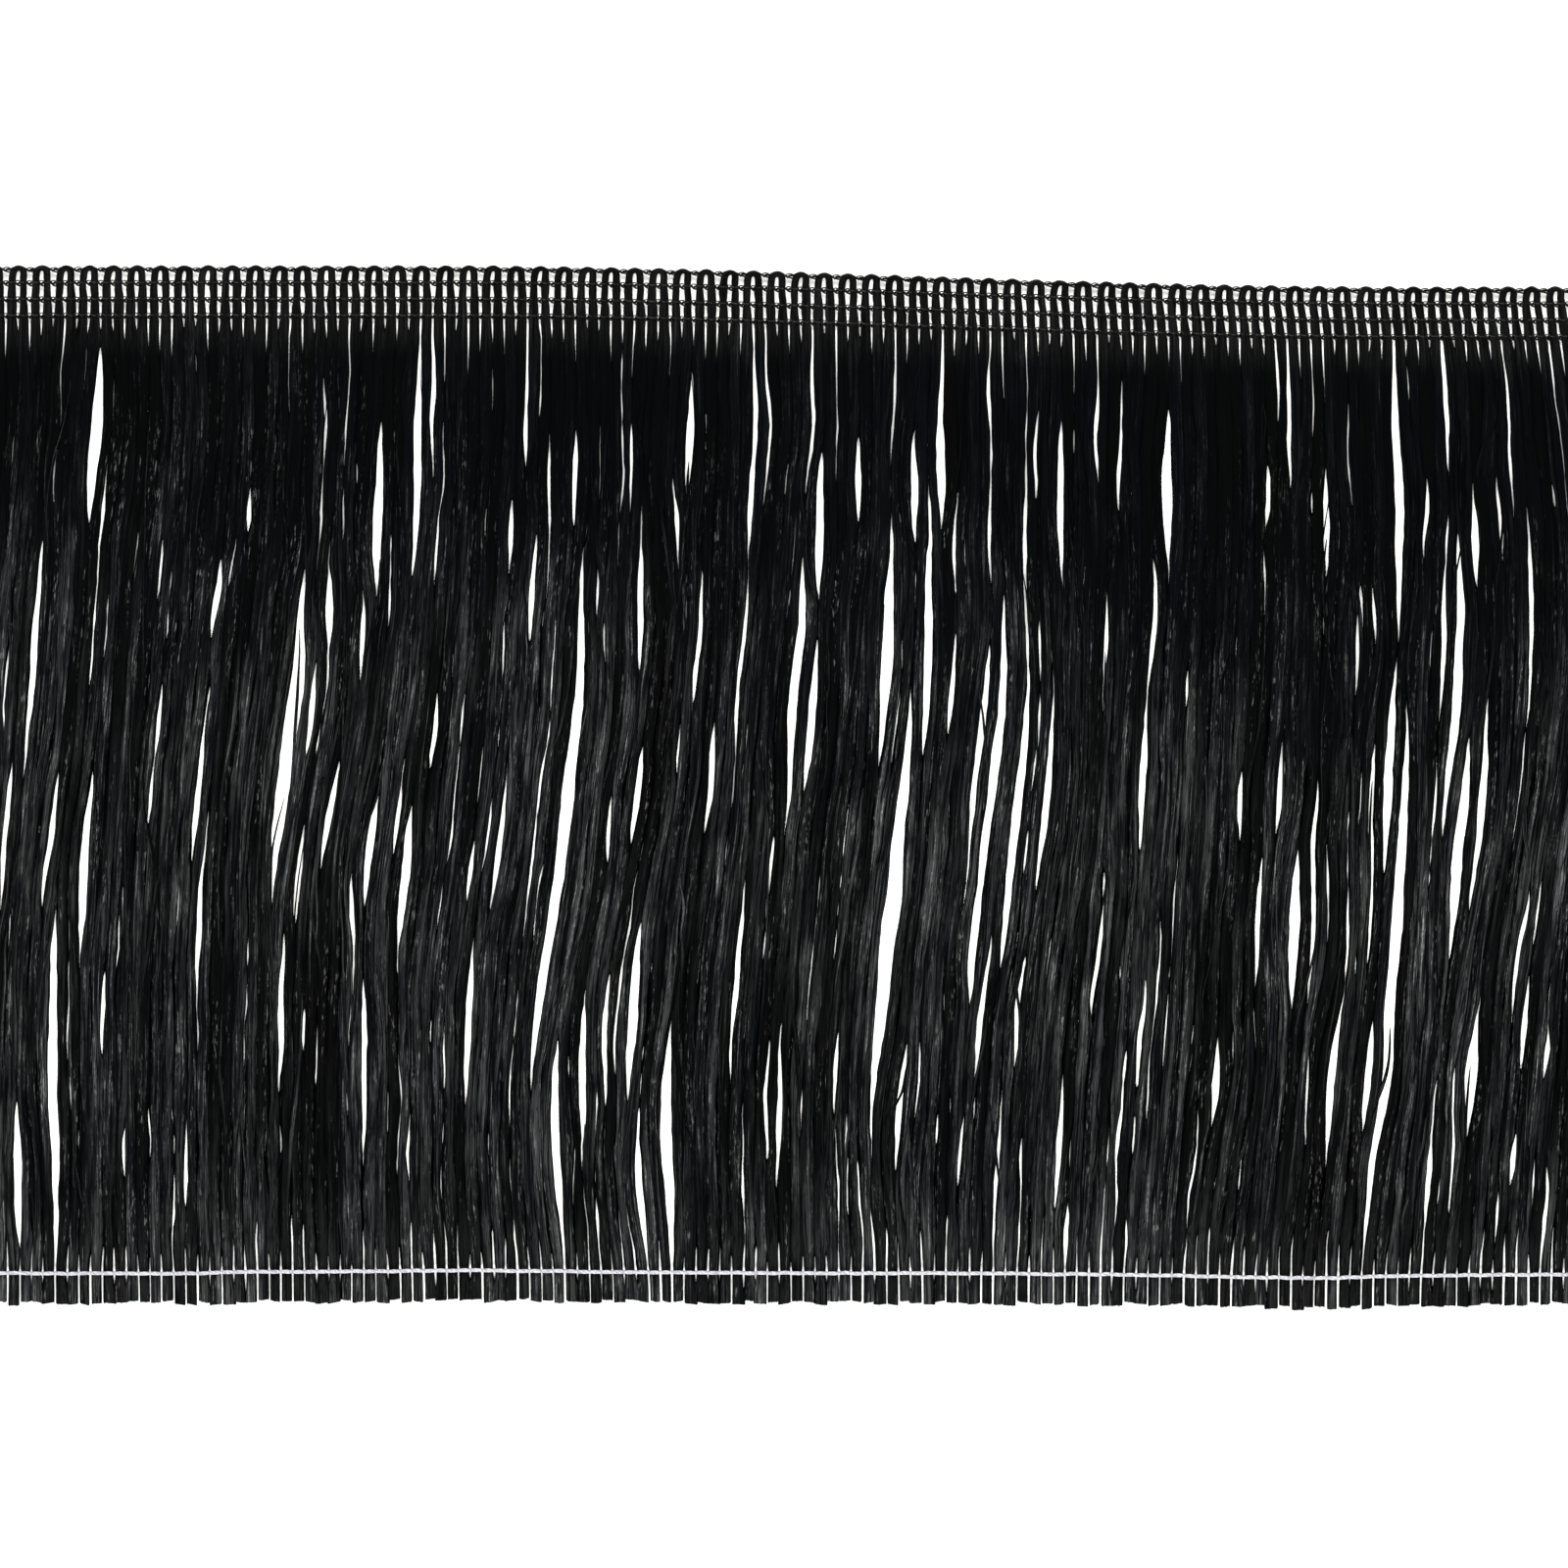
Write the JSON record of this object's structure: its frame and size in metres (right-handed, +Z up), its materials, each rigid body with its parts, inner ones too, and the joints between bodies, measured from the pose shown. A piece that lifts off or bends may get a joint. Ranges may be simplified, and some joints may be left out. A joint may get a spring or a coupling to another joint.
{
  "type": "raffia loop fringe",
  "caption": "Black raffia loop fringe lying flat: yarn loops under rows of chain stitch at the top, with a white holding thread above the cut ends.",
  "frame": {"origin": "on the surface that the fringe lies on, under the middle of its bounding box", "axes": "+X along the heading to the right, +Y from the cut ends towards the heading, +Z up from the surface towards the shown side"},
  "size_m": [0.3533, 0.2131, 0.0024],
  "materials": {
    "black_raffia": "soft sheen along the yarn",
    "black_thread": "matt",
    "white_thread": "matt"
  },
  "bodies": {
    "root": {"raffia_fringe": "black_raffia", "heading_thread_1": "black_thread", "heading_thread_2": "black_thread", "heading_thread_3": "black_thread", "heading_thread_4": "black_thread", "holding_thread": "white_thread"}
  },
  "joints": []
}
